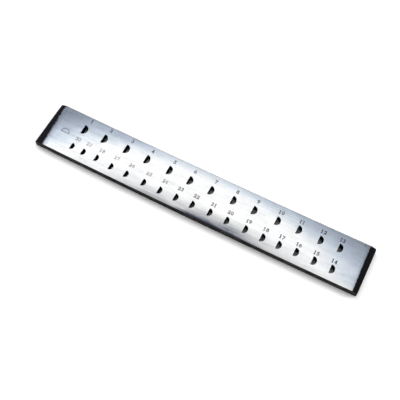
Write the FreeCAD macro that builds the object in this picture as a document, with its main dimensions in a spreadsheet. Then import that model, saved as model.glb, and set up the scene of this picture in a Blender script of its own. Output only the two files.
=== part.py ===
"""Half-round wire draw plate, 240 x 35 x 5.5 mm, with 30 numbered die holes.

One hardened steel bar lies on its back face, which is z = 0. Its length runs along X, its
width along Y, and the numbered front face looks up. The origin is the middle of the back face.

Each die hole is half round: a flat wall at the left and a half-cone at the right. From the
front face down it is a short relief, the parallel land that sizes the wire, and the long
entry that opens towards the back. Holes 1 to 13 run left to right along the far row and
holes 14 to 30 run back along the near row, a little smaller each time. The bar and both rows
are slightly bowed, because such a plate is forged and laid out by hand.
"""
import FreeCAD, Part
import math
import os

import Sketcher
from FreeCAD import Placement, Rotation, Vector

# Driving dimensions in millimetres: alias, value, meaning.
DIMENSIONS = [
    ("plate_length", 240.0, "overall length of the bar"),
    ("plate_width", 35.0, "width of the bar, square across it"),
    ("plate_thickness", 5.5, "thickness of the bar"),
    ("edge_camber", 0.8, "bow of both long edges over the whole length"),
    ("corner_radius", 0.8, "corners of the outline"),
    ("edge_round", 0.4, "rounding of the long edges, front and back"),
    ("left_roll_length", 5.5, "length of the rolled-down strip at the left end"),
    ("right_roll_length", 3.6, "length of the rolled-down strip at the right end"),
    ("roll_drop", 2.0, "how far the front face falls at each end"),
    ("largest_mouth", 7.1, "flat width of hole 1 at the front face"),
    ("mouth_step", 0.075, "how much narrower each hole is than the one before"),
    ("relief_width", 0.55, "how far the mouth's radius exceeds the land's"),
    ("relief_depth", 1.8, "depth of the relief below the front face"),
    ("land_length", 1.0, "length of the parallel land"),
    ("entry_width", 0.65, "how far the entry's radius exceeds the land's"),
    ("far_left_margin", 24.7, "left end to the flat of hole 1"),
    ("far_right_margin", 22.7, "right end to the flat of the far row's last hole"),
    ("near_left_margin", 24.4, "left end to the flat of the near row's last hole"),
    ("near_right_margin", 21.9, "right end to the flat of the near row's first hole"),
    ("far_row_margin", 12.1, "far edge to the far row, at mid-length"),
    ("near_row_margin", 7.1, "near edge to the near row, at mid-length"),
    ("row_bow", 2.1, "bow of both rows over the whole length"),
    ("numeral_height", 2.4, "height of the punched numbers"),
    ("numeral_width", 1.4, "width of one digit"),
    ("numeral_gap", 0.75, "space between two digits"),
    ("numeral_stroke", 0.4, "width of a punched line"),
    ("numeral_depth", 0.2, "depth of a punched line"),
    ("far_lead", 1.6, "far numbers stand this far right of their hole's flat, at mid-length"),
    ("far_lead_loss", 2.3, "how much that lead shrinks from left end to right end"),
    ("near_lead", 1.15, "near numbers stand this far right of their hole's flat, at mid-length"),
    ("near_lead_loss", 1.5, "how much that lead shrinks from left end to right end"),
    ("far_seat_left", 0.81, "share of the spare room below the far numbers, at the left end"),
    ("far_seat_middle", 0.45, "the same at mid-length"),
    ("far_seat_right", 0.32, "the same at the right end"),
    ("near_seat_left", 0.40, "share of the spare room below the near numbers, at the left end"),
    ("near_seat_middle", 0.43, "the same at mid-length"),
    ("near_seat_right", 0.11, "the same at the right end"),
    ("mark_width", 6.0, "width of the half-round profile mark"),
    ("mark_margin", 14.8, "left end to the middle of the profile mark"),
]

# Spacing from each hole to the next, as punched by hand. Only the proportions count: each row
# is stretched to fill the plate between its two margins.
FAR_ROW_SPACING = [16.0, 17.5, 16.5, 17.5, 16.0, 16.0, 16.5, 15.5, 17.0, 15.0, 15.5, 13.5]
NEAR_ROW_SPACING = [12.5, 12.5, 12.0, 11.5, 12.5, 13.5, 12.5, 13.0,
                    12.0, 12.0, 12.5, 13.5, 12.0, 12.0, 10.5, 9.0]
# How far the punch strayed from the bowed line of the row at each hole, towards the far edge.
FAR_ROW_STRAY = [-0.2, 0.2, 0.6, 0.3, 0.2, -0.2, -0.2, 0.0, -0.3, -0.3, 0.2, -0.4, -0.1]
NEAR_ROW_STRAY = [-0.3, 0.0, 0.4, 0.0, 0.0, 0.3, 0.3, 0.6, 0.2,
                  -0.1, -0.5, -0.5, -0.5, -0.5, 0.4, 0.0, 0.2]
FIRST_NEAR_NUMBER = len(FAR_ROW_SPACING) + 2

# Digits on a cell 1 wide and 1 high, as lines (x, y, x, y) and as arcs of an ellipse
# (centre x, centre y, half width, half height, first angle, last angle).
DIGITS = {
    "0": {"arcs": [(0.5, 0.5, 0.5, 0.5, 0, 360)]},
    "1": {"lines": [(0.5, 0, 0.5, 1), (0.5, 1, 0.2, 0.82), (0.2, 0, 0.8, 0)]},
    "2": {"arcs": [(0.5, 0.72, 0.5, 0.28, -38, 170)],
          "lines": [(0.894, 0.548, 0, 0), (0, 0, 1, 0)]},
    "3": {"arcs": [(0.45, 0.76, 0.45, 0.24, -90, 150), (0.45, 0.26, 0.5, 0.26, -150, 90)]},
    "4": {"lines": [(0.72, 0, 0.72, 1), (0.72, 1, 0, 0.3), (0, 0.3, 1, 0.3)]},
    "5": {"arcs": [(0.45, 0.32, 0.5, 0.32, -150, 125)],
          "lines": [(0.163, 0.582, 0.2, 1), (0.2, 1, 0.9, 1)]},
    "6": {"arcs": [(0.5, 0.29, 0.5, 0.29, 0, 360), (1.1, 0.29, 1.1, 0.71, 105, 180)]},
    "7": {"lines": [(0, 1, 1, 1), (1, 1, 0.35, 0)]},
    "8": {"arcs": [(0.5, 0.77, 0.42, 0.23, 0, 360), (0.5, 0.27, 0.5, 0.27, 0, 360)]},
    "9": {"arcs": [(0.5, 0.71, 0.5, 0.29, 0, 360), (-0.1, 0.71, 1.1, 0.71, -75, 0)]},
}
# A half-round section standing on its flat, which says what profile the plate draws.
PROFILE_MARK = {"arcs": [(0.5, 0, 0.5, 0.5, 0, 180)], "lines": [(0, 0, 1, 0)]}
ARC_STEP = 30.0                 # degrees of a glyph's arc that one straight slot follows
CLEAR = 1.0                     # how far cutting tools stand clear of the face they cut
TOUCH = 1e-6                    # two heights closer than this are the same

doc = FreeCAD.newDocument("DrawPlate")


# ---------------------------------------------------------------- driving dimensions

sheet = doc.addObject("Spreadsheet::Sheet", "Size")
for row, (alias, value, meaning) in enumerate(DIMENSIONS, start=1):
    sheet.set("A%d" % row, alias)
    sheet.set("B%d" % row, str(value))
    sheet.setAlias("B%d" % row, alias)
    sheet.set("C%d" % row, meaning)
doc.recompute()


def size(alias):
    """Current value of one driving dimension, in millimetres."""
    return float(sheet.get(alias))


def worth(expression):
    """Current value of an expression over the sheet, in millimetres."""
    return float(sheet.evalExpression(expression))


# ---------------------------------------------------------------- sketching

def new_sketch(body, name, role):
    """Sketch attached flat to one of the body's own origin planes."""
    sketch = body.newObject("Sketcher::SketchObject", name)
    plane = next(f for f in body.Origin.OriginFeatures if f.Role == role)
    sketch.AttachmentSupport = [(plane, "")]
    sketch.MapMode = "FlatFace"
    return sketch


def pin_point(sketch, geometry, point, name, place):
    """Tie one sketch point to the origin by two named distances that follow the sheet."""
    for kind, suffix, expression in zip(("DistanceX", "DistanceY"), "xy", place):
        label = "%s_%s" % (name, suffix)
        constraint = Sketcher.Constraint(kind, -1, 1, geometry, point, worth(expression))
        sketch.renameConstraint(sketch.addConstraint(constraint), label)
        sketch.setExpression("Constraints." + label, expression)


def draw_outline(sketch, name, corners, bows):
    """Closed outline through corners that are pairs of expressions.

    bows maps a side's index to a point that the side passes through; that side is an arc.
    """
    points = [Vector(worth(x), worth(y), 0) for x, y in corners]
    for i, start in enumerate(points):
        end = points[(i + 1) % len(points)]
        label = "%s_%d" % (name, i + 1)
        if i in bows:
            middle = Vector(worth(bows[i][0]), worth(bows[i][1]), 0)
            side = sketch.addGeometry(Part.Arc(start, middle, end), False)
            on_side = sketch.addGeometry(Part.Point(middle), True)
            sketch.addConstraint(Sketcher.Constraint("PointOnObject", on_side, 1, side))
            pin_point(sketch, on_side, 1, label + "_bow", bows[i])
        else:
            side = sketch.addGeometry(Part.LineSegment(start, end), False)
        first = min((1, 2), key=lambda p: sketch.getPoint(side, p).distanceToPoint(start))
        pin_point(sketch, side, first, label, corners[i])
        pin_point(sketch, side, 3 - first, label + "_end", corners[(i + 1) % len(corners)])


def require_less_steel(volume, feature):
    """Recompute and return the new volume; a cut that removed nothing is an error."""
    doc.recompute()
    if not feature.Shape.Volume < volume - TOUCH:
        raise RuntimeError("%s removed no steel" % feature.Label)
    return feature.Shape.Volume


def edges_where(shape, wanted):
    """Names of the edges of a shape that a test accepts."""
    return ["Edge%d" % i for i, edge in enumerate(shape.Edges, start=1) if wanted(edge)]


# ---------------------------------------------------------------- the bar

def add_outline(body):
    """Plan outline: two parallel bowed long edges and two straight ends."""
    right = "Size.plate_length / 2"
    high = "Size.plate_width / 2 + Size.edge_camber / 2"
    low = "Size.plate_width / 2 - Size.edge_camber / 2"
    left = "-" + right
    sketch = new_sketch(body, "outline", "XY_Plane")
    corners = [(left, high), (right, high), (right, "-(%s)" % low), (left, "-(%s)" % low)]
    draw_outline(sketch, "plan", corners, {0: ("0", low), 2: ("0", "-(%s)" % high)})
    return sketch


def add_end_rolls(body):
    """Side profile of the steel missing above each end, where the front face rolls down.

    Its lower side is an arc that leaves the front face without a corner.
    """
    top = "Size.plate_thickness"
    low = top + " - Size.roll_drop"
    over = "%s + %g" % (top, CLEAR)
    sketch = new_sketch(body, "end_rolls", "XZ_Plane")
    for name, sign in (("left", "-"), ("right", "")):
        length = "Size.%s_roll_length" % name
        chord = "sqrt(%s^2 + Size.roll_drop^2)" % length
        middle_fall = "%s * (%s - %s) / (2 * Size.roll_drop)" % (chord, chord, length)
        start, middle, tip, beyond = [
            "%s(Size.plate_length / 2 + %s)" % (sign, shift)
            for shift in ("-" + length, "%s / 2 - %s" % (chord, length), "0", "%g" % CLEAR)]
        corners = [(start, top), (tip, low), (beyond, low), (beyond, over), (start, over)]
        draw_outline(sketch, name, corners, {0: (middle, "%s - %s" % (top, middle_fall))})
    return sketch


def build_bar():
    """The bar before punching: outline, rounded corners, rolled ends, rounded edges."""
    body = doc.addObject("PartDesign::Body", "Bar")
    body.Label = "bar_before_punching"
    pad = body.newObject("PartDesign::Pad", "thickness")
    pad.Profile = add_outline(body)
    pad.setExpression("Length", "Size.plate_thickness")
    doc.recompute()

    corners = body.newObject("PartDesign::Fillet", "corner_rounding")
    upright = edges_where(pad.Shape, lambda e: abs(e.tangentAt(e.FirstParameter).z) > 0.99)
    corners.Base = (pad, upright)
    corners.setExpression("Radius", "Size.corner_radius")
    volume = require_less_steel(pad.Shape.Volume, corners)

    rolls = body.newObject("PartDesign::Pocket", "rolled_ends")
    rolls.Profile = add_end_rolls(body)
    rolls.Type = "ThroughAll"
    rolls.SideType = "Symmetric"
    volume = require_less_steel(volume, rolls)

    lowest_front = size("plate_thickness") - size("roll_drop") - TOUCH
    shortest_run = size("corner_radius") / 2

    def is_long_edge(edge):
        """The whole outline of the back face, and the front's edges that run lengthwise."""
        box = edge.BoundBox
        return box.ZMax < TOUCH or (box.ZMin > lowest_front and box.XLength > shortest_run)

    rounds = body.newObject("PartDesign::Fillet", "edge_rounding")
    rounds.Base = (rolls, edges_where(rolls.Shape, is_long_edge))
    rounds.setExpression("Radius", "Size.edge_round")
    require_less_steel(volume, rounds)
    return body


# ---------------------------------------------------------------- the die holes

def hole_plan():
    """Number, x, y and mouth radius of each hole; the last three are expressions."""
    rows = [("far", 1, FAR_ROW_SPACING, FAR_ROW_STRAY, 1,
             "Size.plate_width / 2 - Size.far_row_margin"),
            ("near", FIRST_NEAR_NUMBER, NEAR_ROW_SPACING, NEAR_ROW_STRAY, -1,
             "Size.near_row_margin - Size.plate_width / 2")]
    plan = []
    for name, first_number, spacing, strays, direction, row_middle in rows:
        margins = "Size.%s_left_margin", "Size.%s_right_margin"
        left, right = [margin % name for margin in margins]
        span = "(Size.plate_length - %s - %s)" % (left, right)
        for place, stray in enumerate(strays):
            passed = sum(spacing[:place]) / sum(spacing)
            share = passed if direction > 0 else 1 - passed
            number = first_number + place
            x = "(%s - Size.plate_length / 2 + %.6f * %s)" % (left, share, span)
            y = "(%s + %.1f + Size.row_bow * (2 * %s / Size.plate_length)^2)" % (
                row_middle, stray, x)
            mouth = "((Size.largest_mouth - %d * Size.mouth_step) / 2)" % (number - 1)
            plan.append((number, x, y, mouth))
    return plan


def punch_hole(body, number, x, y, mouth):
    """One die hole: its half section, turned half a turn about the hole's upright axis."""
    sketch = new_sketch(body, "section_%02d" % number, "YZ_Plane")
    sketch.setExpression("AttachmentOffset.Base.x", y)
    sketch.setExpression("AttachmentOffset.Base.z", x)
    front = "Size.plate_thickness"
    relief_foot = front + " - Size.relief_depth"
    land_foot = relief_foot + " - Size.land_length"
    land = mouth + " - Size.relief_width"
    entry = land + " + Size.entry_width"
    draw_outline(sketch, "half", [("0", "0"), (entry, "0"), (land, land_foot),
                                  (land, relief_foot), (mouth, front), ("0", front)], {})
    hole = body.newObject("PartDesign::Groove", "hole_%02d" % number)
    hole.Profile = sketch
    hole.ReferenceAxis = (sketch, ["V_Axis"])
    hole.Angle = 180
    hole.Reversed = True
    return hole


def punch_all_holes(body):
    """All the holes; returns each number with its place and its mouth radius."""
    volume = body.Shape.Volume
    holes = []
    for number, *expressions in hole_plan():
        hole = punch_hole(body, number, *expressions)
        volume = require_less_steel(volume, hole)
        x, y, radius = [worth(expression) for expression in expressions]
        inside = Vector(x + radius / 2, y, size("plate_thickness") / 2)
        if hole.Shape.isInside(inside, TOUCH, True):
            raise RuntimeError("hole %d opens to the wrong side" % number)
        holes.append((number, x, y, radius))
    return holes


# ---------------------------------------------------------------- the punched marks

def punched_line(start, end):
    """A round-ended slot between two points, standing through the front face."""
    half = size("numeral_stroke") / 2
    along = (end - start).normalize() * half
    across = Vector(-along.y, along.x, 0)
    outline = Part.Wire([
        Part.Arc(start + across, start - along, start - across).toShape(),
        Part.LineSegment(start - across, end - across).toShape(),
        Part.Arc(end - across, end + along, end + across).toShape(),
        Part.LineSegment(end + across, start + across).toShape()])
    return Part.Face(outline).extrude(Vector(0, 0, size("numeral_depth") + CLEAR))


def punched_glyph(glyph, corner, width, height):
    """All the slots of one glyph as one solid, on a cell whose lower left is the corner."""

    def place(u, v):
        return corner + Vector(u * width, v * height, 0)

    runs = [(place(x1, y1), place(x2, y2)) for x1, y1, x2, y2 in glyph.get("lines", [])]
    for centre_x, centre_y, half_width, half_height, first, last in glyph.get("arcs", []):
        steps = max(2, round(abs(last - first) / ARC_STEP))
        angles = [math.radians(first + (last - first) * i / steps) for i in range(steps + 1)]
        points = [place(centre_x + half_width * math.cos(angle),
                        centre_y + half_height * math.sin(angle)) for angle in angles]
        runs += zip(points, points[1:])
    slots = [punched_line(start, end) for start, end in runs]
    return slots[0].multiFuse(slots[1:]).removeSplitter()


def number_place(number, x, y, radius):
    """Middle of a hole's number, in the clear strip on the far side of its row.

    The strip runs from the mouths of the row to the plate's far edge, or to the mouths of the
    far row. A share of the room that the number leaves in it lies below the number, and the
    number never touches its own hole, however far that strays from the row.
    """
    along = 2 * x / size("plate_length")
    bow = size("row_bow") * along ** 2
    half_width = size("plate_width") / 2
    far_line = half_width - size("far_row_margin") + bow
    if number < FIRST_NEAR_NUMBER:
        row_name = "far"
        row_line = far_line
        strip_end = half_width
    else:
        row_name = "near"
        row_line = size("near_row_margin") - half_width + bow
        strip_end = far_line - size("largest_mouth") / 2
    left, middle, right = [size("%s_seat_%s" % (row_name, where))
                           for where in ("left", "middle", "right")]
    seat = middle + (right - left) / 2 * along + ((left + right) / 2 - middle) * along ** 2
    height = size("numeral_height")
    spare = strip_end - row_line - radius - height
    foot = max(row_line + radius + seat * spare, y + radius + size("numeral_stroke"))
    lead = size(row_name + "_lead") - size(row_name + "_lead_loss") / 2 * along
    return x + lead, foot + height / 2


def punched_marks(holes):
    """Numbers beside the holes, and a mark that shows the profile of the wire."""
    floor = size("plate_thickness") - size("numeral_depth")
    width = size("numeral_width")
    height = size("numeral_height")
    pitch = width + size("numeral_gap")
    marks = []
    for number, x, y, radius in holes:
        text = str(number)
        middle_x, middle_y = number_place(number, x, y, radius)
        left = middle_x - (pitch * (len(text) - 1) + width) / 2
        for i, digit in enumerate(text):
            corner = Vector(left + i * pitch, middle_y - height / 2, floor)
            marks.append(punched_glyph(DIGITS[digit], corner, width, height))
    side = size("mark_width")
    left = size("mark_margin") - size("plate_length") / 2 - side / 2
    corner = Vector(left, -side / 4, floor)
    marks.append(punched_glyph(PROFILE_MARK, corner, side, side))
    return Part.makeCompound(marks)


# ---------------------------------------------------------------- the finished plate

bar = build_bar()
die_holes = punch_all_holes(bar)

stamps = doc.addObject("Part::Feature", "Stamps")
stamps.Label = "number_stamps"
stamps.Shape = punched_marks(die_holes)
stamps.Placement = Placement(Vector(0, 0, 0), Rotation())

plate = doc.addObject("Part::Cut", "DrawPlate")
plate.Label = "draw_plate"
plate.Base = bar
plate.Tool = stamps
require_less_steel(bar.Shape.Volume, plate)

for obj in doc.Objects:
    if "Invalid" in obj.State or "Error" in obj.State:
        raise RuntimeError("%s failed: %s" % (obj.Label, obj.State))
if plate.Shape.isNull() or not plate.Shape.isValid() or len(plate.Shape.Solids) != 1:
    raise RuntimeError("draw_plate is not one valid solid")

os.makedirs("parts", exist_ok=True)
plate.Shape.exportStep("parts/%s.step" % plate.Label)
print("%s: %d holes, %.2f cm3 of steel, %d faces" % (
    plate.Label, len(die_holes), plate.Shape.Volume / 1000, len(plate.Shape.Faces)))
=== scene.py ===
"""Half-round wire draw plate on a pale studio floor.

The CAD plate is the frame. Here it gets the surface that the CAD leaves out: ground steel on
the numbered face, black hardening scale elsewhere, stamped serif numbers with raised lips,
broken hole mouths, worn edges, pits and a slight waviness. Shapes are worked out in
millimetres, in the frame's own axes, and become metres when the mesh is made.
"""

import math

import bpy
import numpy as np
from mathutils import Matrix, Vector
from mathutils.geometry import delaunay_2d_cdt


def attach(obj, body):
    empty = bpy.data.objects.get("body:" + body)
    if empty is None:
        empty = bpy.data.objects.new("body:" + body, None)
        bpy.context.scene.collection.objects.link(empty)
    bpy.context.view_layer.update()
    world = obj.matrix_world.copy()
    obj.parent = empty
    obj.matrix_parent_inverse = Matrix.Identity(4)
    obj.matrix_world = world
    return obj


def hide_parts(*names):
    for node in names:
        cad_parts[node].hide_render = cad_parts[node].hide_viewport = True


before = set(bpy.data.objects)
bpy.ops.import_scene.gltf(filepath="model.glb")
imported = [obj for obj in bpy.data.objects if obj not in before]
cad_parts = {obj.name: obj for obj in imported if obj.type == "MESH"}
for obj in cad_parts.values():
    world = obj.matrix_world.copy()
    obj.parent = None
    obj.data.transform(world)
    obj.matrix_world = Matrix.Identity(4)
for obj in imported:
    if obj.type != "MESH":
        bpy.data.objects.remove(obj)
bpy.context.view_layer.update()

rng = np.random.default_rng(1319)
MM = 0.001

# ---------------------------------------------------------------- sizes of the plate, mm

LENGTH = 240.0
HALF_WIDTH = 17.5
THICK = 5.5
CAMBER = 0.8                        # bow of both long edges over the whole length
CORNER = 0.8                        # plan corners
EDGE = 0.4                          # rounding of the edges
ROLLS = {-1: 5.5, 1: 3.6}           # lengths of the rolled-down ends, left and right
ROLL_DROP = 2.0
SKIN = 0.03                         # the ground face lies this far below the CAD's face
ROW_BOW = 2.1
FAR_ROW = 5.4                       # the rows' places at mid-length
NEAR_ROW = -10.4
FAR_FLATS = (-95.3, 97.3)           # flats of a row's leftmost and rightmost hole
NEAR_FLATS = (-95.6, 98.1)
FAR_SPACING = [16.0, 17.5, 16.5, 17.5, 16.0, 16.0, 16.5, 15.5, 17.0, 15.0, 15.5, 13.5]
NEAR_SPACING = [12.5, 12.5, 12.0, 11.5, 12.5, 13.5, 12.5, 13.0,
                12.0, 12.0, 12.5, 13.5, 12.0, 12.0, 10.5, 9.0]
FAR_STRAY = [-0.2, 0.2, 0.6, 0.3, 0.2, -0.2, -0.2, 0.0, -0.3, -0.3, 0.2, -0.4, -0.1]
NEAR_STRAY = [-0.3, 0.0, 0.4, 0.0, 0.0, 0.3, 0.3, 0.6, 0.2,
              -0.1, -0.5, -0.5, -0.5, -0.5, 0.4, 0.0, 0.2]
MOUTH = 7.1
MOUTH_STEP = 0.075
RELIEF_WIDTH = 0.55
RELIEF_DEPTH = 1.8
LAND_LENGTH = 1.0
ENTRY_WIDTH = 0.65
NUMERAL = (1.4, 2.4)                # width and height of a digit between stroke middles
NUMERAL_PITCH = 2.15
NUMERAL_STROKE = 0.4                # the least gap between a hole's mouth and its number
FAR_SEATS = (0.81, 0.45, 0.32)      # share of the spare room below a number: left, middle, right
NEAR_SEATS = (0.40, 0.43, 0.11)
FAR_LEAD = (1.6, 2.3)               # number right of its flat at mid-length; loss over the length
NEAR_LEAD = (1.15, 1.5)
FIRST_NEAR = 14


# ---------------------------------------------------------------- where the holes are

def bow(x, depth):
    """How far a line that bows by depth over the whole length has risen at x."""
    return depth * (2 * x / LENGTH) ** 2


def hole_plan():
    """(number, x, y, mouth radius) of every die hole."""
    plan = []
    rows = ((1, FAR_SPACING, FAR_STRAY, FAR_FLATS, FAR_ROW),
            (FIRST_NEAR, NEAR_SPACING, NEAR_STRAY, NEAR_FLATS[::-1], NEAR_ROW))
    for first, spacing, strays, (start, end), row in rows:
        shares = np.concatenate([[0], np.cumsum(spacing)]) / sum(spacing)
        for place, (share, stray) in enumerate(zip(shares, strays)):
            number = first + place
            x = start + (end - start) * share
            y = row + stray + bow(x, ROW_BOW)
            plan.append((number, x, y, (MOUTH - MOUTH_STEP * (number - 1)) / 2))
    return plan


def number_place(number, x, y, radius):
    """Middle of the number that belongs to a hole, in the clear strip beyond its row."""
    along = 2 * x / LENGTH
    row_bow = bow(x, ROW_BOW)
    far = number < FIRST_NEAR
    row = (FAR_ROW if far else NEAR_ROW) + row_bow
    strip_end = HALF_WIDTH if far else FAR_ROW + row_bow - MOUTH / 2
    left, middle, right = FAR_SEATS if far else NEAR_SEATS
    lead, loss = FAR_LEAD if far else NEAR_LEAD
    seat = middle + (right - left) / 2 * along + ((left + right) / 2 - middle) * along ** 2
    height = NUMERAL[1]
    spare = strip_end - row - radius - height
    foot = max(row + radius + seat * spare, y + radius + NUMERAL_STROKE)
    return x + lead - loss / 2 * along, foot + height / 2


HOLES = hole_plan()

# ---------------------------------------------------------------- stamped digits

# Serif digits on a cell 1 wide and 1 high: lines as points, arcs as (centre x, centre y, half
# width, half height, first angle, last angle), and dots where a stroke ends in a ball.
GLYPHS = {
    "0": {"arcs": [(0.5, 0.5, 0.46, 0.5, 0, 360)]},
    "1": {"lines": [[(0.52, 0), (0.52, 1)], [(0.52, 1), (0.2, 0.84)], [(0.14, 0), (0.88, 0)]]},
    "2": {"arcs": [(0.48, 0.72, 0.42, 0.28, -40, 172)],
          "lines": [[(0.80, 0.54), (0.04, 0.02)], [(0.04, 0.02), (0.94, 0.02), (0.98, 0.2)]],
          "dots": [(0.12, 0.72)]},
    "3": {"arcs": [(0.46, 0.76, 0.38, 0.24, -90, 155), (0.44, 0.26, 0.46, 0.26, -155, 90)],
          "dots": [(0.12, 0.84), (0.06, 0.17)]},
    "4": {"lines": [[(0.70, 0), (0.70, 1)], [(0.70, 1), (0.02, 0.3)], [(0.02, 0.3), (1, 0.3)],
                    [(0.44, 0), (0.96, 0)]]},
    "5": {"arcs": [(0.44, 0.32, 0.46, 0.32, -155, 128)],
          "lines": [[(0.17, 0.57), (0.2, 1)], [(0.2, 1), (0.86, 1), (0.92, 0.9)]],
          "dots": [(0.05, 0.18)]},
    "6": {"arcs": [(0.5, 0.29, 0.46, 0.29, 0, 360), (1.06, 0.29, 1.02, 0.71, 104, 180)],
          "dots": [(0.82, 0.93)]},
    "7": {"lines": [[(0.02, 0.9), (0.06, 1), (1, 1)], [(1, 1), (0.36, 0)]]},
    "8": {"arcs": [(0.5, 0.77, 0.38, 0.23, 0, 360), (0.5, 0.27, 0.46, 0.27, 0, 360)]},
    "9": {"arcs": [(0.5, 0.71, 0.46, 0.29, 0, 360), (-0.06, 0.71, 1.02, 0.71, -76, 0)],
          "dots": [(0.18, 0.07)]},
}
PROFILE_MARK = {"arcs": [(0.5, 0, 0.5, 0.5, 0, 180)], "lines": [[(0, 0), (1, 0)]]}
MARK_SIZE = 6.0                     # width of the profile mark
MARK_CORNER = (-108.2, -1.5)        # its lower left corner
STAMP_DEPTH = 0.2
LIP_HEIGHT = 0.012                  # steel pushed up beside a stamp
LIP_WIDTH = 0.24
THIN = 0.15                         # half width of a level stroke
THICK_MORE = 0.12                   # an upright stroke is this much wider each side
BALL = 0.21                         # radius of the ball at a stroke's end
FAINT_LEFT_OF = -20.0               # near numbers left of here were struck lightly
UNEVEN = 0.06                       # scatter of a digit's place
STEP = 0.14  # spacing of points along a stroke


def glyph_runs(glyph, corner, width, height):
    """The glyph's strokes as arrays of points about STEP apart."""
    corner = np.array(corner)
    cell = np.array([width, height])
    runs = []
    for line in glyph.get("lines", []):
        ends = corner + np.array(line) * cell
        for start, end in zip(ends, ends[1:]):
            count = max(2, int(np.hypot(*(end - start)) / STEP) + 1)
            runs.append(start + (end - start) * np.linspace(0, 1, count)[:, None])
    for cx, cy, rx, ry, first, last in glyph.get("arcs", []):
        count = int(abs(last - first) / 360 * math.pi * (rx * width + ry * height) / STEP) + 3
        angle = np.radians(np.linspace(first, last, count))
        turn = np.stack([cx + rx * np.cos(angle), cy + ry * np.sin(angle)], axis=1)
        runs.append(corner + turn * cell)
    return runs


def stroke_set(glyph, corner, width, height, weight):
    """Segments of one stamp: starts, ends, half widths, and the points that its relief needs."""
    starts, ends, halves, points = [], [], [], []
    for run in glyph_runs(glyph, corner, width, height):
        step = np.diff(run, axis=0)
        length = np.hypot(step[:, 0], step[:, 1])[:, None]
        along = step / length
        half = THIN + THICK_MORE * np.abs(along[:, 1]) ** 1.5
        starts.append(run[:-1])
        ends.append(run[1:])
        halves.append(half)
        tangent = np.vstack([along[:1], along[:-1] + along[1:], along[-1:]])
        tangent /= np.hypot(tangent[:, 0], tangent[:, 1])[:, None]
        across = np.stack([-tangent[:, 1], tangent[:, 0]], axis=1)
        reach = np.concatenate([half[:1], (half[:-1] + half[1:]) / 2, half[-1:]])[:, None]
        points.append(run)
        for share, extra in ((0.55, 0), (1.0, 0), (1.0, LIP_WIDTH / 2), (1.0, LIP_WIDTH)):
            for side in (-1, 1):
                points.append(run + side * across * (reach * share + extra))
        for tip, outward in ((run[0], -tangent[0]), (run[-1], tangent[-1])):
            sideways = np.array([-outward[1], outward[0]])
            for far in (half[0], half[0] + LIP_WIDTH / 2, half[0] + LIP_WIDTH):
                fan = np.radians(np.linspace(-60, 60, 5))[:, None]
                points.append(tip + far * (np.cos(fan) * outward + np.sin(fan) * sideways))
    for dot in glyph.get("dots", []):
        place = np.array(corner) + np.array(dot) * np.array([width, height])
        starts.append(place[None])
        ends.append(place[None] + 1e-4)
        halves.append(np.array([BALL]))
        turn = np.radians(np.arange(0, 360, 30))[:, None]
        for far in (BALL * 0.5, BALL, BALL + LIP_WIDTH / 2, BALL + LIP_WIDTH):
            points.append(place + far * np.hstack([np.cos(turn), np.sin(turn)]))
    return {"a": np.vstack(starts), "b": np.vstack(ends), "half": np.concatenate(halves),
            "points": np.vstack(points), "weight": weight}


def all_stamps():
    """Every punched digit and the profile mark. Digits sit a little unevenly, as by hand."""
    stamps = []
    for number, x, y, radius in HOLES:
        text = str(number)
        middle_x, middle_y = number_place(number, x, y, radius)
        left = middle_x - (NUMERAL_PITCH * (len(text) - 1) + NUMERAL[0]) / 2
        faint = number >= FIRST_NEAR and x < FAINT_LEFT_OF
        for i, digit in enumerate(text):
            shift = rng.normal(0, UNEVEN, 2)
            corner = (left + i * NUMERAL_PITCH + shift[0], middle_y - NUMERAL[1] / 2 + shift[1])
            weight = rng.uniform(0.55, 0.75) if faint else rng.uniform(0.9, 1.0)
            stamps.append(stroke_set(GLYPHS[digit], corner, *NUMERAL, weight))
    stamps.append(stroke_set(PROFILE_MARK, MARK_CORNER, MARK_SIZE, MARK_SIZE, 0.75))
    return stamps


STAMPS = all_stamps()

# Pits and dents in the ground face: x, y, radius, depth.
PITS = [(-83.9, -14.6, 0.5, 0.10), (-79.6, -15.3, 0.4, 0.09), (112.6, 16.1, 0.7, 0.25)]
PITS += [(rng.uniform(-112, 114), rng.uniform(-15.8, 15.8), rng.uniform(0.12, 0.3),
          rng.uniform(0.02, 0.05)) for _ in range(26)]

# ---------------------------------------------------------------- height of the front face

# Shallow waves: height, angle per mm along X and along Y, starting angle.
WAVES = [(rng.uniform(0.003, 0.008), rng.uniform(-0.45, 0.45), rng.uniform(-0.6, 0.6),
          rng.uniform(0, 2 * math.pi)) for _ in range(9)]


def end_roll(x):
    """How far the face has fallen at x, over both rolled ends."""
    fall = np.zeros_like(x)
    for side, length in ROLLS.items():
        radius = (length ** 2 + ROLL_DROP ** 2) / (2 * ROLL_DROP)
        past = np.clip(side * x - (LENGTH / 2 - length), 0, length)
        fall += radius - np.sqrt(radius ** 2 - past ** 2)
    return fall


def distances(points, stamp):
    """Distance from points to a stamp's strokes, as a share of the half width and beyond it."""
    run = stamp["b"] - stamp["a"]
    offset = points[:, None] - stamp["a"][None]
    share = np.clip((offset * run).sum(-1) / (run * run).sum(-1), 0, 1)
    gap = np.hypot(*np.moveaxis(offset - share[..., None] * run, -1, 0))
    return (gap / stamp["half"]).min(1), (gap - stamp["half"]).min(1)


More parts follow.
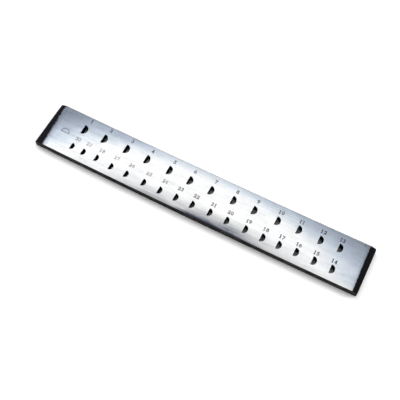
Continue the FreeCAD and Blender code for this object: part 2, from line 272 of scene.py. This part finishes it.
def relief(points):
    """Height of the front face over points, and how much dirt and painted shade darken the stamps and
    pits there.
    """
    height = THICK - SKIN - end_roll(points[:, 0])
    for size, along, across, phase in WAVES:
        height += size * (np.sin(along * points[:, 0] + across * points[:, 1] + phase) - 1)
    stamped = np.zeros(len(points))
    for stamp in STAMPS:
        low = stamp["points"].min(0) - 0.3
        high = stamp["points"].max(0) + 0.3
        near = np.flatnonzero(((points > low) & (points < high)).all(1))
        if not len(near):
            continue
        share, beyond = distances(points[near], stamp)
        share = np.clip(share, 0, 1)
        lip = np.clip(beyond / LIP_WIDTH, 0, 1)
        height[near] -= STAMP_DEPTH * 0.5 * (1 + np.cos(math.pi * share))
        height[near] += LIP_HEIGHT * np.sin(math.pi * lip) * (share >= 1)
        # Dirt and painted shade fill the stroke and reach a little past its edge.
        shade = stamp["weight"] * np.clip((1.25 - share - beyond.clip(0) * 4) / 0.3, 0, 1)
        stamped[near] = np.maximum(stamped[near], shade)
    for x, y, radius, depth in PITS:
        reach = np.hypot(points[:, 0] - x, points[:, 1] - y) / radius
        height -= depth * np.exp(-2.5 * reach ** 2)
        # A pit is darkened as well: dirt and painted shade in its hollow.
        stamped = np.maximum(stamped, min(0.9, depth * 8) * np.exp(-2 * reach ** 2))
    return height, stamped


# ---------------------------------------------------------------- loops

SPACE = 1.2   # spacing of points along the outline and over the face


def plan_outline():
    """The plate's plan outline, anticlockwise, and the way inwards at every point."""
    half = LENGTH / 2
    low = HALF_WIDTH - CAMBER / 2
    straight = LENGTH - 2 * CORNER
    xs = np.arange(-half + CORNER, half - CORNER + 0.01, straight / round(straight / SPACE))
    quarter = np.radians(np.linspace(0, 90, 8)[1:-1])

    def corner(x, y, start):
        turn = quarter + math.radians(start)
        return np.stack([x + CORNER * np.cos(turn), y + CORNER * np.sin(turn)], axis=1)

    near = np.stack([xs, -HALF_WIDTH - CAMBER / 2 + bow(xs, CAMBER)], axis=1)
    far = np.stack([xs, low + bow(xs, CAMBER)], axis=1)[::-1]
    inner = half - CORNER
    near_end, far_end = near[0, 1] + CORNER, far[0, 1] - CORNER
    ys = np.linspace(near_end, far_end, round((far_end - near_end) / SPACE) + 1)
    right = np.stack([np.full_like(ys, half), ys], axis=1)
    left = np.stack([np.full_like(ys, -half), ys[::-1]], axis=1)
    loop = np.vstack([near, corner(inner, near_end, -90), right, corner(inner, far_end, 0), far,
                      corner(-inner, far_end, 90), left, corner(-inner, near_end, 180)])
    ahead = np.roll(loop, -1, axis=0) - np.roll(loop, 1, axis=0)
    inward = np.stack([-ahead[:, 1], ahead[:, 0]], axis=1)
    return loop, inward / np.hypot(ahead[:, 0], ahead[:, 1])[:, None]


MOUTH_CORNER = 0.1                  # the two corners of a half-round hole are not sharp


def half_round(x, y, radius, grow=0.0):
    """Anticlockwise loop of a half-round hole: flat at x, bulging towards +X."""
    body = radius - MOUTH_CORNER
    reach = MOUTH_CORNER + grow
    flat = np.linspace(body, -body, 9)[1:-1]
    points = [(-grow, v) for v in flat]
    middle = MOUTH_CORNER
    for turn in np.radians(np.linspace(180, 270, 5)):
        points.append((middle + reach * math.cos(turn), -body + reach * math.sin(turn)))
    for turn in np.radians(np.linspace(-90, 90, 29)[1:-1]):
        points.append((middle + (body + reach) * math.cos(turn), (body + reach) * math.sin(turn)))
    for turn in np.radians(np.linspace(90, 180, 5)):
        points.append((middle + reach * math.cos(turn), body + reach * math.sin(turn)))
    return np.array(points) + (x, y)


BREAK = 0.14                        # width of the broken edge round a mouth
OUTLINE, INWARD = plan_outline()


def smooth_noise(count, knots, reach):
    """Closed seeded noise along a loop, between 0 and reach."""
    values = rng.random(knots)
    place = np.linspace(0, knots, count, endpoint=False)
    first = place.astype(int)
    blend = place - first
    blend = blend * blend * (3 - 2 * blend)
    return reach * (values[first % knots] * (1 - blend) + values[(first + 1) % knots] * blend)


# ---------------------------------------------------------------- faces between loops

def thin_out(points, kept, gap):
    """Those of points, in order, that lie no nearer than gap to a kept point or each other."""
    cells = {}

    def crowded(p, cell):
        for i in (cell[0] - 1, cell[0], cell[0] + 1):
            for j in (cell[1] - 1, cell[1], cell[1] + 1):
                for q in cells.get((i, j), ()):
                    if (p[0] - q[0]) ** 2 + (p[1] - q[1]) ** 2 < gap * gap:
                        return True
        return False

    for p in kept:
        cells.setdefault((int(p[0] // gap), int(p[1] // gap)), []).append(p)
    chosen = []
    for p in points:
        cell = (int(p[0] // gap), int(p[1] // gap))
        if not crowded(p, cell):
            cells.setdefault(cell, []).append(p)
            chosen.append(p)
    return np.array(chosen).reshape(-1, 2)


def in_the_clear(points, rim, grow):
    """Points inside the plate by rim and outside every hole mouth by grow."""
    x, y = points[:, 0], points[:, 1]
    low = -HALF_WIDTH - CAMBER / 2 + bow(x, CAMBER) + rim
    high = HALF_WIDTH - CAMBER / 2 + bow(x, CAMBER) - rim
    clear = (y > low) & (y < high) & (np.abs(x) < LENGTH / 2 - rim)
    inner = LENGTH / 2 - CORNER
    for edge, outward in ((low, -1), (high, 1)):
        centre = edge - outward * (CORNER - rim)
        off = np.hypot(np.abs(x) - inner, y - centre)
        in_corner = (np.abs(x) > inner) & (outward * (y - centre) > 0)
        clear &= ~(in_corner & (off > CORNER - rim))
    for _, hole_x, hole_y, radius in HOLES:
        in_hole = (x > hole_x - grow) & (np.hypot(x - hole_x, y - hole_y) < radius + grow)
        clear &= ~in_hole
    return points[clear]


def fill(loops, extra):
    """Triangles between loops and through extra points; no triangle spans a hole."""
    points = np.vstack(list(loops) + [extra])
    owner = np.full(len(points), -1)
    edges = []
    start = 0
    for index, loop in enumerate(loops):
        count = len(loop)
        owner[start:start + count] = index
        edges += [(start + i, start + (i + 1) % count) for i in range(count)]
        start += count
    result = delaunay_2d_cdt([Vector(p) for p in points], edges, [], 1, 1e-5, True)
    source = [min(found) for found in result[3]]
    triangles = np.array([[source[v] for v in face] for face in result[2]])
    same = (owner[triangles] == owner[triangles[:, :1]]).all(1) & (owner[triangles[:, 0]] > 0)
    return points, triangles[~same]


def front_points():
    """Points on the front face besides its loops: rims, stamps, pits, rolled ends and a grid."""
    fine = []
    for stamp in STAMPS:
        fine.append(stamp["points"])
    for x, y, radius, _ in PITS:
        turn = np.radians(np.arange(0, 360, 45))[:, None]
        fine.append(np.array([[x, y]]))
        for far in (0.4, 0.8, 1.3):
            fine.append((x, y) + far * radius * np.hstack([np.cos(turn), np.sin(turn)]))
    rims = [OUTLINE + INWARD * (EDGE + gap) for gap in (0.2, 0.6)]
    for _, x, y, radius in HOLES:
        rims += [half_round(x, y, radius, BREAK + gap) for gap in (0.12, 0.4)]
    ends = []
    for side, length in ROLLS.items():
        across = np.arange(-17.2, 17.6, 0.9)
        for past in np.arange(0.1, length + 0.8, 0.35):
            ends.append(np.stack([np.full_like(across, side * (LENGTH / 2 + 0.3 - past)),
                                  across + 0.45 * (len(ends) % 2)], axis=1))
    columns = np.arange(-119, 119, SPACE)
    rows = np.arange(-17, 17.5, SPACE * 0.87)
    grid = np.array([(x + SPACE / 2 * (j % 2), y) for x in columns for j, y in enumerate(rows)])
    grid += rng.uniform(-0.12, 0.12, grid.shape)
    # Each group keeps a gap between points, and clears the rim and the mouths by so much.
    chosen = np.zeros((0, 2))
    for group, gap, rim, grow in ((np.vstack(fine), 0.085, EDGE + 0.1, BREAK + 0.1),
                                  (np.vstack(rims), 0.11, EDGE + 0.1, BREAK + 0.06),
                                  (np.vstack(ends), 0.3, EDGE + 0.15, 1.0),
                                  (grid, 0.62, EDGE + 0.3, BREAK + 0.4)):
        group = in_the_clear(group, rim, grow)
        chosen = np.vstack([chosen, thin_out(group, chosen, gap)])
    return chosen


# ---------------------------------------------------------------- the whole mesh

class Mesh:
    """Vertices, faces, and what the shader is told at each vertex."""

    def __init__(self):
        self.count = 0
        self.places = []
        self.cover = []             # 0 on ground steel, 1 under hardening scale
        self.stamped = []           # how much dark filling lies in a stamp
        self.side = []              # how much dirt and painted shade darken a stamp or pit
        self.faces = []

    def add(self, points, height, cover, side=0.0, stamped=0.0):
        """Adds vertices and returns their numbers."""
        count = len(points)
        self.places.append(np.column_stack([points, np.broadcast_to(height, count)]))
        for store, value in ((self.cover, cover), (self.side, side), (self.stamped, stamped)):
            store.append(np.broadcast_to(value, count))
        self.count += count
        return np.arange(self.count - count, self.count)

    def band(self, upper, lower):
        """Quads between two loops of equal count; outside seen anticlockwise from above."""
        next_upper = np.roll(upper, -1)
        next_lower = np.roll(lower, -1)
        self.faces += np.stack([upper, lower, next_lower, next_upper], axis=1).tolist()


def outer_wall(mesh, rim):
    """From the front rim over the worn edge, down the scaled side, to the back rim."""
    count = len(OUTLINE)
    top = THICK - SKIN - end_roll(OUTLINE[:, 0])
    wear = EDGE - smooth_noise(count, 160, 0.12)
    wear *= np.where(np.abs(OUTLINE[:, 0]) > LENGTH / 2 - CORNER, 0.5, 1.0)
    above = rim
    # Front edge, then the side, then the back edge; a turn is in degrees from level.
    for turn, cover in ((24, 0.36), (46, 0.7), (68, 0.95), (90, 1.0)):
        slope = math.radians(turn)
        inset = wear * (1 - math.sin(slope)) + (EDGE - wear) * math.cos(slope) * 0.6
        loop = OUTLINE + INWARD * inset[:, None]
        ring = mesh.add(loop, top - wear * (1 - math.cos(slope)), cover, side=turn / 90)
        mesh.band(above, ring)
        above = ring
    foot = EDGE
    for share in (0.12, 0.3, 0.5, 0.7, 0.88):
        dent = smooth_noise(count, 230, 0.09)
        height = (top - wear) * (1 - share) + foot * share
        ring = mesh.add(OUTLINE + INWARD * dent[:, None], height, 1.0, side=1.0)
        mesh.band(above, ring)
        above = ring
    for turn in (90, 62, 34, 0):
        slope = math.radians(turn)
        loop = OUTLINE + INWARD * EDGE * (1 - math.sin(slope))
        ring = mesh.add(loop, EDGE * (1 - math.cos(slope)), 1.0, side=turn / 90)
        mesh.band(above, ring)
        above = ring
    return above


def hole_wall(mesh, mouth_ring, x, y, radius):
    """From a broken mouth through relief, land and entry to the back face."""
    land = radius - RELIEF_WIDTH
    entry = land + ENTRY_WIDTH
    land_top = THICK - RELIEF_DEPTH
    land_foot = land_top - LAND_LENGTH
    above = mouth_ring
    # Each ring: radius, how far it stands outside that, height, cover.
    rings = [(radius, 0.05, THICK - SKIN - 0.035, 0.55), (radius, 0.0, THICK - SKIN - 0.13, 0.9)]
    for share in (0.25, 0.5, 0.75, 1.0):
        rings.append((radius + (land - radius) * share, 0.0,
                      THICK - 0.16 - (RELIEF_DEPTH - 0.16) * share, 1.0))
    rings.append((land, 0.0, land_foot, 1.0))
    for share in (0.25, 0.5, 0.75, 0.96):
        rings.append((land + (entry - land) * share, 0.0, land_foot * (1 - share), 1.0))
    rings.append((entry, 0.04, 0.03, 1.0))
    rings.append((entry, 0.12, 0.0, 1.0))
    for ring_radius, grow, height, cover in rings:
        loop = half_round(x, y, ring_radius, grow)
        if grow == 0.0 and height != land_top and height != land_foot:
            middle = np.array([x + ring_radius * 0.4, y])
            rough = smooth_noise(len(loop), 18, 0.03)[:, None]
            loop = loop + (loop - middle) / ring_radius * (rough - 0.015)
        ring = mesh.add(loop, height, cover)
        mesh.band(above, ring)
        above = ring
    return above


def build_plate():
    """The finished plate as one closed mesh object."""
    mesh = Mesh()
    mouths = [half_round(x, y, radius, BREAK) for _, x, y, radius in HOLES]
    rim = OUTLINE + INWARD * EDGE
    points, triangles = fill([rim] + mouths, front_points())
    height, stamped = relief(points)
    mesh.add(points, height, 0.0, stamped=stamped)
    mesh.faces += triangles.tolist()
    start = len(rim)
    last = outer_wall(mesh, np.arange(start))
    back_loops = [last]
    for (_, x, y, radius), mouth in zip(HOLES, mouths):
        ring = np.arange(start, start + len(mouth))
        start += len(mouth)
        back_loops.append(hole_wall(mesh, ring, x, y, radius))
    places = np.vstack(mesh.places)
    columns = np.arange(-118, 118, 3.0)
    rows = np.arange(-16, 16.5, 3.0)
    grid = np.array([(x, y) for x in columns for y in rows])
    grid += rng.uniform(-0.6, 0.6, grid.shape)
    grid = in_the_clear(grid, EDGE + 0.5, 0.9)
    points, triangles = fill([places[loop][:, :2] for loop in back_loops], grid)
    known = sum(len(loop) for loop in back_loops)
    extra = mesh.add(points[known:], rng.uniform(0.0, 0.012, len(points) - known), 1.0)
    numbers = np.concatenate(back_loops + [extra])
    mesh.faces += numbers[triangles][:, ::-1].tolist()

    data = bpy.data.meshes.new("plate_steel")
    places = np.vstack(mesh.places) * MM
    data.from_pydata(places.tolist(), [], mesh.faces)
    data.update()
    for name, values in (("cover", mesh.cover), ("stamped", mesh.stamped), ("side", mesh.side)):
        layer = data.attributes.new(name, "FLOAT", "POINT")
        layer.data.foreach_set("value", np.concatenate(values).astype(np.float32))
    corners = np.empty(len(data.loops), dtype=np.int32)
    data.loops.foreach_get("vertex_index", corners)
    flat = np.column_stack([places[:, 0] + places[:, 2] * 0.3, places[:, 1] + places[:, 2]])
    layer = data.uv_layers.new(name="lengthwise")
    layer.data.foreach_set("uv", ((flat[corners] + 0.125) / 0.25).astype(np.float32).ravel())
    data.shade_smooth()
    plate = bpy.data.objects.new("draw_plate_steel", data)
    bpy.context.scene.collection.objects.link(plate)
    return plate


# ---------------------------------------------------------------- the steel

class Shader:
    """Short names for building one material's nodes."""

    def __init__(self, name):
        self.material = bpy.data.materials.new(name)
        self.material.use_nodes = True
        self.tree = self.material.node_tree
        self.tree.nodes.clear()

    def put(self, kind, inputs=None, **settings):
        """A new node: its inputs linked or set, its other settings by name."""
        node = self.tree.nodes.new(kind)
        for key, value in settings.items():
            setattr(node, key, value)
        for key, value in (inputs or {}).items():
            if isinstance(value, bpy.types.NodeSocket):
                self.tree.links.new(value, node.inputs[key])
            else:
                node.inputs[key].default_value = value
        return node

    def math(self, operation, *values, clamp=False):
        """Output of one sum on values or sockets."""
        inputs = dict(enumerate(values))
        return self.put("ShaderNodeMath", inputs, operation=operation, use_clamp=clamp).outputs[0]

    def noise(self, where, stretch, turn=0.0, detail=3.0, roughness=0.55):
        """Noise on stretched object coordinates, as a value about 0.5."""
        mapping = self.put("ShaderNodeMapping", {"Vector": where, "Scale": stretch,
                                                 "Rotation": (0, 0, math.radians(turn))})
        mapping.vector_type = "POINT"
        node = self.put("ShaderNodeTexNoise", {
            "Vector": mapping.outputs[0], "Scale": 1.0, "Detail": detail, "Roughness": roughness})
        return node.outputs[0]

    def spread(self, value, low, high, out_low=0.0, out_high=1.0, kind="LINEAR"):
        """Output that runs from out_low to out_high while the value runs from low to high."""
        inputs = {0: value, 1: low, 2: high, 3: out_low, 4: out_high}
        return self.put("ShaderNodeMapRange", inputs, interpolation_type=kind).outputs[0]

    def bell(self, value, middle, width):
        """exp(-((value - middle) / width) squared)."""
        off = self.math("DIVIDE", self.math("SUBTRACT", value, middle), width)
        squared = self.math("MULTIPLY", off, off)
        return self.math("POWER", math.e, self.math("MULTIPLY", squared, -1.0))

    def colour_mix(self, factor, first, second):
        """The first colour at factor 0, the second at factor 1."""
        node = self.put("ShaderNodeMix", data_type="RGBA")
        sockets = {s.identifier: s for s in node.inputs}
        for key, value in (("Factor_Float", factor), ("A_Color", first), ("B_Color", second)):
            if isinstance(value, bpy.types.NodeSocket):
                self.tree.links.new(value, sockets[key])
            else:
                sockets[key].default_value = value
        return next(s for s in node.outputs if s.identifier == "Result_Color")

    def ramp(self, value, stops):
        """Colour at a value, from (place, colour) stops in rising order."""
        node = self.put("ShaderNodeValToRGB", {0: value})
        band = node.color_ramp
        for place, colour in stops[1:-1]:
            band.elements.new(place).color = (*colour, 1)
        ends = zip((band.elements[0], band.elements[-1]), (stops[0], stops[-1]))
        for element, (place, colour) in ends:
            element.position = place
            element.color = (*colour, 1)
        return node.outputs[0]


# Colours of the steel, as linear red, green and blue.
REFLECTION_FALLOFF = [                          # painted reflection: from the bright near middle to the blue grey far corners
    (0.0, (0.69, 0.69, 0.69)), (0.525, (0.66, 0.665, 0.67)), (0.5625, (0.585, 0.605, 0.63)),
    (0.625, (0.455, 0.495, 0.54)), (0.6875, (0.355, 0.395, 0.455)), (0.75, (0.27, 0.305, 0.36)),
    (0.875, (0.185, 0.212, 0.255)), (1.0, (0.13, 0.15, 0.18))]
NEAR_EDGE_DARK_REFLECTION = (0.045, 0.054, 0.078, 1)    # painted dark reflection along the near edge
ROLL_DARK_REFLECTION = (0.05, 0.055, 0.08, 1)      # painted dark reflection where the face rolls down before each end's scale
STAMP_DIRT_AND_SHADE = (0.012, 0.013, 0.017, 1)  # dirt and painted shade in the stamps and pits
SCALE_DARK = (0.0012, 0.0012, 0.0022, 1)
SCALE_LIGHT = (0.0055, 0.0055, 0.0075, 1)
SCALE_BROWN = (0.032, 0.029, 0.026, 1)
SCALE_WORN = (0.10, 0.095, 0.09, 1)


class PlateShader(Shader):
    """The patterns and places that the plate's ground steel and its black scale share."""

    def __init__(self):
        super().__init__("tool_steel_ground_and_scaled")
        self.where = self.put("ShaderNodeTexCoord").outputs["Object"]
        axes = self.put("ShaderNodeSeparateXYZ", {0: self.where})
        self.x = self.math("MULTIPLY", axes.outputs[0], 1 / MM)
        self.y = self.math("MULTIPLY", axes.outputs[1], 1 / MM)
        self.cover = self.told("cover")
        self.stamped = self.told("stamped")
        self.side = self.told("side")
        # Grinding leaves long fine scratches, broader streaks and a few slanting passes.
        drift = self.noise(self.where, (18, 60, 60), detail=2.0)
        sway = self.math("MULTIPLY", self.math("SUBTRACT", drift, 0.5), 0.003)
        bent = self.put("ShaderNodeVectorMath", {
            0: self.where, 1: self.put("ShaderNodeCombineXYZ", {1: sway}).outputs[0]},
            operation="ADD").outputs[0]
        self.scratch = self.noise(bent, (90, 7000, 200), turn=1.2, detail=4.0, roughness=0.7)
        self.streak = self.noise(bent, (14, 620, 50), turn=-1.6, detail=4.0, roughness=0.6)
        self.passes = self.noise(bent, (55, 420, 50), turn=-14, detail=3.0, roughness=0.6)
        self.cloud = self.noise(self.where, (45, 110, 60), detail=4.0, roughness=0.6)
        self.blotch = self.noise(self.where, (160, 260, 200), detail=5.0, roughness=0.65)
        self.mottle = self.noise(self.where, (900, 900, 900), detail=6.0, roughness=0.7)
        # Millimetres past the line where the scale of each rolled end begins.
        left_line = self.math("MULTIPLY_ADD", self.y, -0.07, -114.7)
        right_line = self.math("MULTIPLY_ADD", self.y, -0.022, 115.95)
        self.past_left = self.math("SUBTRACT", left_line, self.x)
        self.past_right = self.math("SUBTRACT", self.x, right_line)

    def told(self, attribute):
        """What the mesh says at a point."""
        return self.put("ShaderNodeAttribute", attribute_name=attribute).outputs["Fac"]

    def around(self, pattern, amount):
        """A pattern as a value about 0 that swings by half the amount."""
        return self.math("MULTIPLY", self.math("SUBTRACT", pattern, 0.5), amount)


def temper_oxide(s):
    """Painted reflection in the steel's colour: bright in an oval about the near middle, darkening to
    blue grey at the far corners.
    """
    narrowed = s.math("MULTIPLY", s.x, s.spread(s.y, -9.0, -16.0, 1.0, 0.87))
    across = s.math("DIVIDE", s.math("ADD", s.y, 12.0), 27.5)
    oval = s.put("ShaderNodeCombineXYZ", {0: s.math("DIVIDE", narrowed, 108.0), 1: across})
    away = s.put("ShaderNodeVectorMath", {0: oval.outputs[0]}, operation="LENGTH")
    # Painted reflection: darker still towards the far left corner.
    far_left = s.math("MULTIPLY", s.spread(s.x, -90.0, -116.0), s.spread(s.y, -12.0, 12.0, 0.0, 0.24))
    away = s.math("ADD", away.outputs["Value"], far_left)
    away = s.math("ADD", away, s.around(s.cloud, 0.16))
    away = s.math("ADD", away, s.around(s.passes, 0.10))
    return s.ramp(s.math("DIVIDE", away, 1.6, clamp=True), REFLECTION_FALLOFF)


def near_edge_stain(s):
    """How much painted dark reflection lies along the near edge, most of it right of the middle."""
    depth = s.math("POWER", s.spread(s.y, -6.0, -17.0), 1.3)
    reach = s.math("ADD", s.math("MULTIPLY", s.bell(s.x, 3.0, 72.0), 0.62),
                   s.math("MULTIPLY", s.bell(s.x, 27.0, 22.0), 0.36))
    pattern = s.math("ADD", s.math("MULTIPLY", s.cloud, 0.4), s.math("MULTIPLY", s.streak, 0.6))
    ragged = s.spread(pattern, 0.34, 0.62, 0.40, 1.5)
    return s.math("MULTIPLY", s.math("MULTIPLY", depth, reach), ragged, clamp=True)


def burnt_ends(s):
    """How much painted dark reflection lies on the face just before the scale at each end, where it
    rolls down.
    """
    roll_darkening = s.math("MAXIMUM", s.spread(s.past_left, -3.6, 0.4, 0.0, 0.62),
                   s.spread(s.past_right, -2.2, 0.3, 0.0, 0.45))
    return s.math("MULTIPLY", roll_darkening, s.spread(s.blotch, 0.3, 0.65, 0.6, 1.15), clamp=True)


def ground_steel(s):
    """Bright steel ground along its length, with painted reflections on its face and dirt and painted
    shade in the stamps and pits.
    """
    # Painted reflections over the steel: a bright oval darkening to the corners, a dark band along
    # the near edge, and dark bands where the ends roll down.
    steel = s.colour_mix(near_edge_stain(s), temper_oxide(s), NEAR_EDGE_DARK_REFLECTION)
    steel = s.colour_mix(burnt_ends(s), steel, ROLL_DARK_REFLECTION)
    grain = s.math("ADD", s.around(s.scratch, 0.34), s.around(s.streak, 0.42))
    grain = s.math("ADD", grain, s.around(s.passes, 0.42))
    grain = s.math("ADD", grain, s.around(s.blotch, 0.30))
    tone = s.math("ADD", grain, 1.0)
    tinted = s.put("ShaderNodeVectorMath", {0: steel, 3: tone}, operation="SCALE")
    # Dirt and painted shade darken the stamps and pits.
    stamp_darkening = s.math("MULTIPLY", s.stamped, s.spread(s.blotch, 0.35, 0.6, 0.82, 1.0))
    coloured = s.colour_mix(stamp_darkening, tinted.outputs[0], STAMP_DIRT_AND_SHADE)
    rough = s.math("ADD", s.spread(s.streak, 0.3, 0.7, 0.24, 0.36), s.around(s.scratch, 0.12))
    rough = s.math("ADD", rough, s.math("MULTIPLY", stamp_darkening, 0.25))
    grooves = s.math("ADD", s.math("MULTIPLY", s.scratch, 0.7), s.math("MULTIPLY", s.streak, 0.6))
    fine = s.put("ShaderNodeBump", {"Strength": 0.22, "Distance": 0.00002, "Height": grooves})
    tangent = s.put("ShaderNodeTangent", direction_type="UV_MAP", uv_map="lengthwise")
    return s.put("ShaderNodeBsdfPrincipled", {
        "Base Color": coloured, "Roughness": rough, "Normal": fine.outputs[0],
        "Tangent": tangent.outputs[0], "Metallic": 1.0, "Anisotropic": 0.55,
        "Anisotropic Rotation": 0.25})


def hardening_scale(s):
    """Blue black on the front, browner, duller and worn in flecks on the sides."""
    black = s.colour_mix(s.spread(s.mottle, 0.3, 0.75), SCALE_DARK, SCALE_LIGHT)
    brown = s.math("MULTIPLY", s.side, s.spread(s.blotch, 0.35, 0.65))
    black = s.colour_mix(brown, black, SCALE_BROWN)
    flecks = s.math("MULTIPLY", s.spread(s.mottle, 0.60, 0.72), 0.35)
    worn = s.math("MULTIPLY", flecks, s.math("MAXIMUM", s.side, 0.25))
    black = s.colour_mix(worn, black, SCALE_WORN)
    lumps = s.math("ADD", s.mottle, s.math("MULTIPLY", s.blotch, 1.5))
    flake = s.put("ShaderNodeBump", {"Strength": 0.45, "Distance": 0.00012, "Height": lumps})
    return s.put("ShaderNodeBsdfPrincipled", {
        "Base Color": black, "Roughness": s.spread(s.mottle, 0.3, 0.7, 0.38, 0.68),
        "Normal": flake.outputs[0], "Specular IOR Level": 0.03})


def scale_cover(s):
    """Where the scale lies: past a ragged line before each end, and over every edge."""
    ragged = s.math("ADD", s.around(s.streak, 1.6), s.around(s.mottle, 1.2))
    left = s.spread(s.math("ADD", s.past_left, s.math("MULTIPLY", ragged, 1.3)), -1.1, 0.8,
                    kind="SMOOTHSTEP")
    right = s.spread(s.math("ADD", s.past_right, s.math("MULTIPLY", ragged, 0.6)), -0.35, 0.3,
                     kind="SMOOTHSTEP")
    far_rim = s.math("MULTIPLY", s.spread(s.y, 15.0, 16.4, 0.0, 0.22), s.spread(s.streak, 0.3, 0.6))
    rim = s.math("ADD", s.cover, s.math("MULTIPLY", far_rim, s.spread(s.cover, 0.05, 0.3)))
    edges = s.spread(s.math("ADD", rim, s.around(s.mottle, 0.5)), 0.35, 0.62, kind="SMOOTHSTEP")
    return s.math("MAXIMUM", edges, s.math("MAXIMUM", left, right))


def plate_material():
    """Ground steel that turns into black hardening scale at the ends, sides and hole walls."""
    s = PlateShader()
    mixed = s.put("ShaderNodeMixShader", {
        0: scale_cover(s), 1: ground_steel(s).outputs[0], 2: hardening_scale(s).outputs[0]})
    s.put("ShaderNodeOutputMaterial", {"Surface": mixed.outputs[0]})
    return s.material


plate = build_plate()
plate.data.materials.append(plate_material())
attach(plate, "root")
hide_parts("draw_plate")

# ---------------------------------------------------------------- floor and light

FLOOR_RADIUS = 2.2
SWEEP_HEIGHT = 0.9


def build_floor():
    """A round pale studio sweep: flat where the plate lies, curving up far away."""
    profile = [(r, 0.0) for r in np.linspace(0.15, 1.4, 8)]
    profile += [(1.4 + (FLOOR_RADIUS - 1.4) * math.sin(t), SWEEP_HEIGHT * (1 - math.cos(t)))
                for t in np.radians(np.linspace(0, 90, 13)[1:])]
    turns = np.radians(np.arange(0, 360, 5))
    points = [(0.0, 0.0, 0.0)]
    points += [(r * math.cos(a), r * math.sin(a), z) for r, z in profile for a in turns]
    count = len(turns)
    faces = [(0, 1 + i, 1 + (i + 1) % count) for i in range(count)]
    for ring in range(len(profile) - 1):
        a = 1 + ring * count
        faces += [(a + i, a + count + i, a + count + (i + 1) % count, a + (i + 1) % count)
                  for i in range(count)]
    data = bpy.data.meshes.new("studio_floor")
    data.from_pydata(points, [], faces)
    data.shade_smooth()
    floor = bpy.data.objects.new("studio_floor", data)
    bpy.context.scene.collection.objects.link(floor)
    s = Shader("pale_paper")
    where = s.put("ShaderNodeTexCoord").outputs["Object"]
    fibre = s.noise(where, (900, 900, 900), detail=4.0)
    pale = s.colour_mix(s.spread(fibre, 0.3, 0.7), (0.90, 0.90, 0.90, 1), (0.93, 0.93, 0.93, 1))
    paper = s.put("ShaderNodeBsdfPrincipled", {"Base Color": pale, "Roughness": 0.9,
                                               "Specular IOR Level": 0.1})
    s.put("ShaderNodeOutputMaterial", {"Surface": paper.outputs[0]})
    data.materials.append(s.material)
    return floor


def aim(obj, target, roll=0.0):
    """Turns a camera or light so that its -Z axis points at target."""
    away = Vector(target) - obj.location
    turn = away.to_track_quat("-Z", "Y").to_matrix() @ Matrix.Rotation(math.radians(roll), 3, "Z")
    obj.rotation_euler = turn.to_euler()


def softbox(name, place, width, height, radiance):
    """A soft area light facing the plate, with the same radiance all over its face."""
    data = bpy.data.lights.new(name, "AREA")
    data.shape = "RECTANGLE"
    data.size = width
    data.size_y = height
    data.energy = radiance * math.pi * width * height
    light = bpy.data.objects.new(name, data)
    light.location = place
    bpy.context.scene.collection.objects.link(light)
    aim(light, (0, 0, 0))


build_floor()
# Name, place in metres, width, height, radiance.
SOFTBOXES = [
    ("key_softbox", (-0.13, 0.42, 0.66), 1.30, 0.95, 1.45),
    ("left_softbox", (-1.0, 0.35, 0.75), 0.7, 0.6, 6.5),
    ("right_softbox", (0.95, 0.55, 0.75), 0.7, 0.6, 6.5),
    ("front_softbox", (0.15, -1.05, 0.58), 1.1, 0.4, 4.5),
    ("roof_softbox", (0.0, -0.62, 0.98), 1.5, 0.75, 0.45),
]
for box in SOFTBOXES:
    softbox(*box)

world = bpy.data.worlds.new("studio_air")
world.use_nodes = True
air = world.node_tree.nodes["Background"].inputs
air["Color"].default_value = (0.95, 0.97, 1.0, 1)
air["Strength"].default_value = 0.12
bpy.context.scene.world = world

# ---------------------------------------------------------------- camera

CAMERA_PLACE = (0.09072, -0.20192, 0.42870)
CAMERA_AIM = (0.00228, -0.00469, 0.00564)
CAMERA_ROLL = 3.403                 # degrees
LENS = 64.22                        # millimetres, on a sensor 36 mm wide

camera_data = bpy.data.cameras.new("camera")
camera_data.sensor_width = 36.0
camera_data.lens = LENS
camera_data.clip_start = 0.01
camera = bpy.data.objects.new("camera", camera_data)
camera.location = CAMERA_PLACE
aim(camera, CAMERA_AIM, roll=CAMERA_ROLL)
bpy.context.scene.collection.objects.link(camera)
bpy.context.scene.camera = camera

view = bpy.context.scene.view_settings
view.view_transform = "Standard"
view.look = "None"
view.exposure = 0.0
